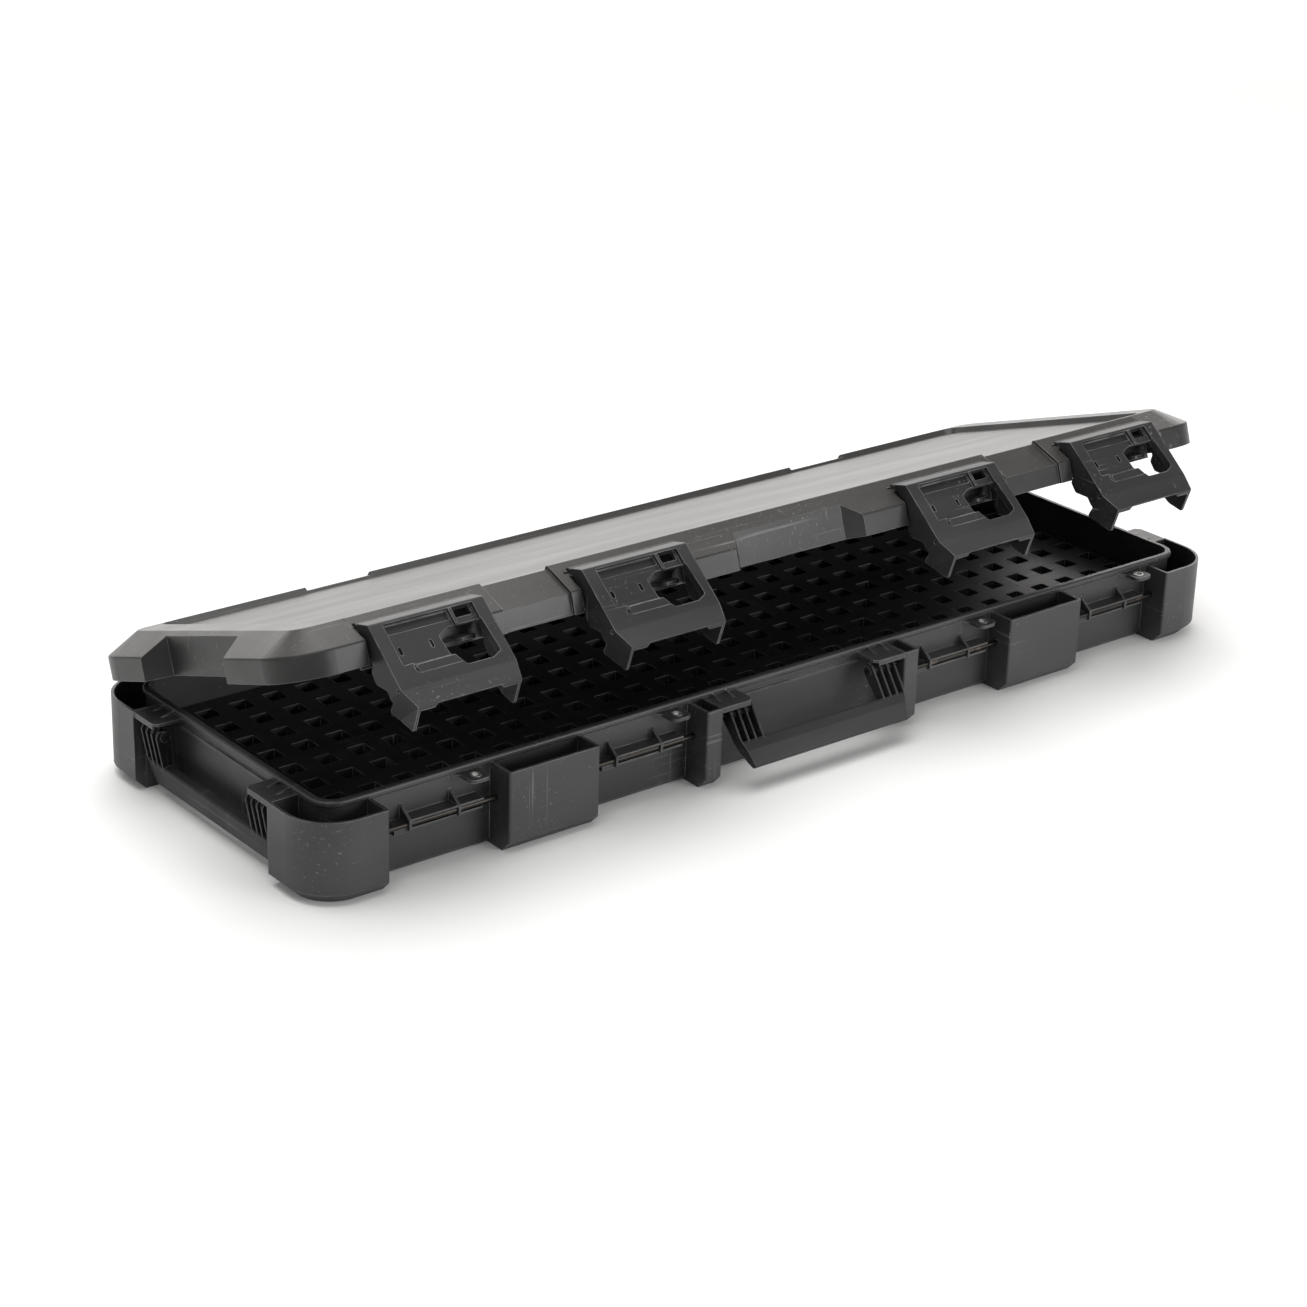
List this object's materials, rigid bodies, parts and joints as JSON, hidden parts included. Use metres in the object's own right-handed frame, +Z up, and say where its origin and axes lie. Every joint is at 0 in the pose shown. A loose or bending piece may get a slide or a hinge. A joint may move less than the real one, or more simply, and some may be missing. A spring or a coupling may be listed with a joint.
{
  "type": "long hinged transport case",
  "caption": "Long shallow hard plastic transport case with a hinged lid, snap latches, swing handles and a pierced grid tray, lid ajar.",
  "frame": {"origin": "middle of the flat underside of the base", "axes": "+X along the case to the right, +Y to the hinged back, +Z up"},
  "size_m": [1.229, 0.4443, 0.2578],
  "materials": {
    "black_shell": "moulded polypropylene, fine texture, lightly scuffed",
    "black_tray": "moulded plastic, satin",
    "black_lid": "moulded polypropylene with dusty scuffs",
    "seal": "matte rubber",
    "steel": "blackened steel with bare spots",
    "zinc": "bright plated",
    "black_latch": "moulded nylon, satin",
    "black_handle": "moulded nylon, satin"
  },
  "bodies": {
    "root": {"base_shell": "black_shell", "grid_tray": "black_tray", "hinge_pins": "steel", "padlock_eyelets": "zinc", "strike_rod_1": "steel", "strike_rod_2": "steel", "strike_rod_3": "steel", "strike_rod_4": "steel", "handle_front_pins": "steel", "handle_left_pins": "steel", "handle_right_pins": "steel"},
    "lid": {"lid_shell": "black_lid", "lid_seal": "seal", "latch_pin_1": "steel", "latch_pin_2": "steel", "latch_pin_3": "steel", "latch_pin_4": "steel"},
    "latch_1": {"latch_1": "black_latch"},
    "latch_2": {"latch_2": "black_latch"},
    "latch_3": {"latch_3": "black_latch"},
    "latch_4": {"latch_4": "black_latch"},
    "handle_front": {"handle_front": "black_handle"},
    "handle_left": {"handle_left": "black_handle"},
    "handle_right": {"handle_right": "black_handle"}
  },
  "joints": [
    {"name": "lid_hinge", "type": "hinge", "parent": "root", "child": "lid", "pos_m": [0, 0.2, 0.09], "axis": [-1, 0, 0], "range_deg": [-19, 86]},
    {"name": "latch_1_hinge", "type": "hinge", "parent": "lid", "child": "latch_1", "pos_m": [-0.4615, -0.14362, 0.24851], "axis": [-1, 0, 0], "range_deg": [-20, 75]},
    {"name": "latch_2_hinge", "type": "hinge", "parent": "lid", "child": "latch_2", "pos_m": [-0.2134, -0.14362, 0.24851], "axis": [-1, 0, 0], "range_deg": [-20, 75]},
    {"name": "latch_3_hinge", "type": "hinge", "parent": "lid", "child": "latch_3", "pos_m": [0.2149, -0.14362, 0.24851], "axis": [-1, 0, 0], "range_deg": [-20, 75]},
    {"name": "latch_4_hinge", "type": "hinge", "parent": "lid", "child": "latch_4", "pos_m": [0.4615, -0.14362, 0.24851], "axis": [-1, 0, 0], "range_deg": [-20, 75]},
    {"name": "handle_front_hinge", "type": "hinge", "parent": "root", "child": "handle_front", "pos_m": [0, -0.194, 0.0723], "axis": [-1, 0, 0], "range_deg": [-46, 46]},
    {"name": "handle_left_hinge", "type": "hinge", "parent": "root", "child": "handle_left", "pos_m": [-0.6025, 0, 0.0723], "axis": [0, 1, 0], "range_deg": [0, 92]},
    {"name": "handle_right_hinge", "type": "hinge", "parent": "root", "child": "handle_right", "pos_m": [0.6025, 0, 0.0723], "axis": [0, -1, 0], "range_deg": [0, 92]}
  ]
}
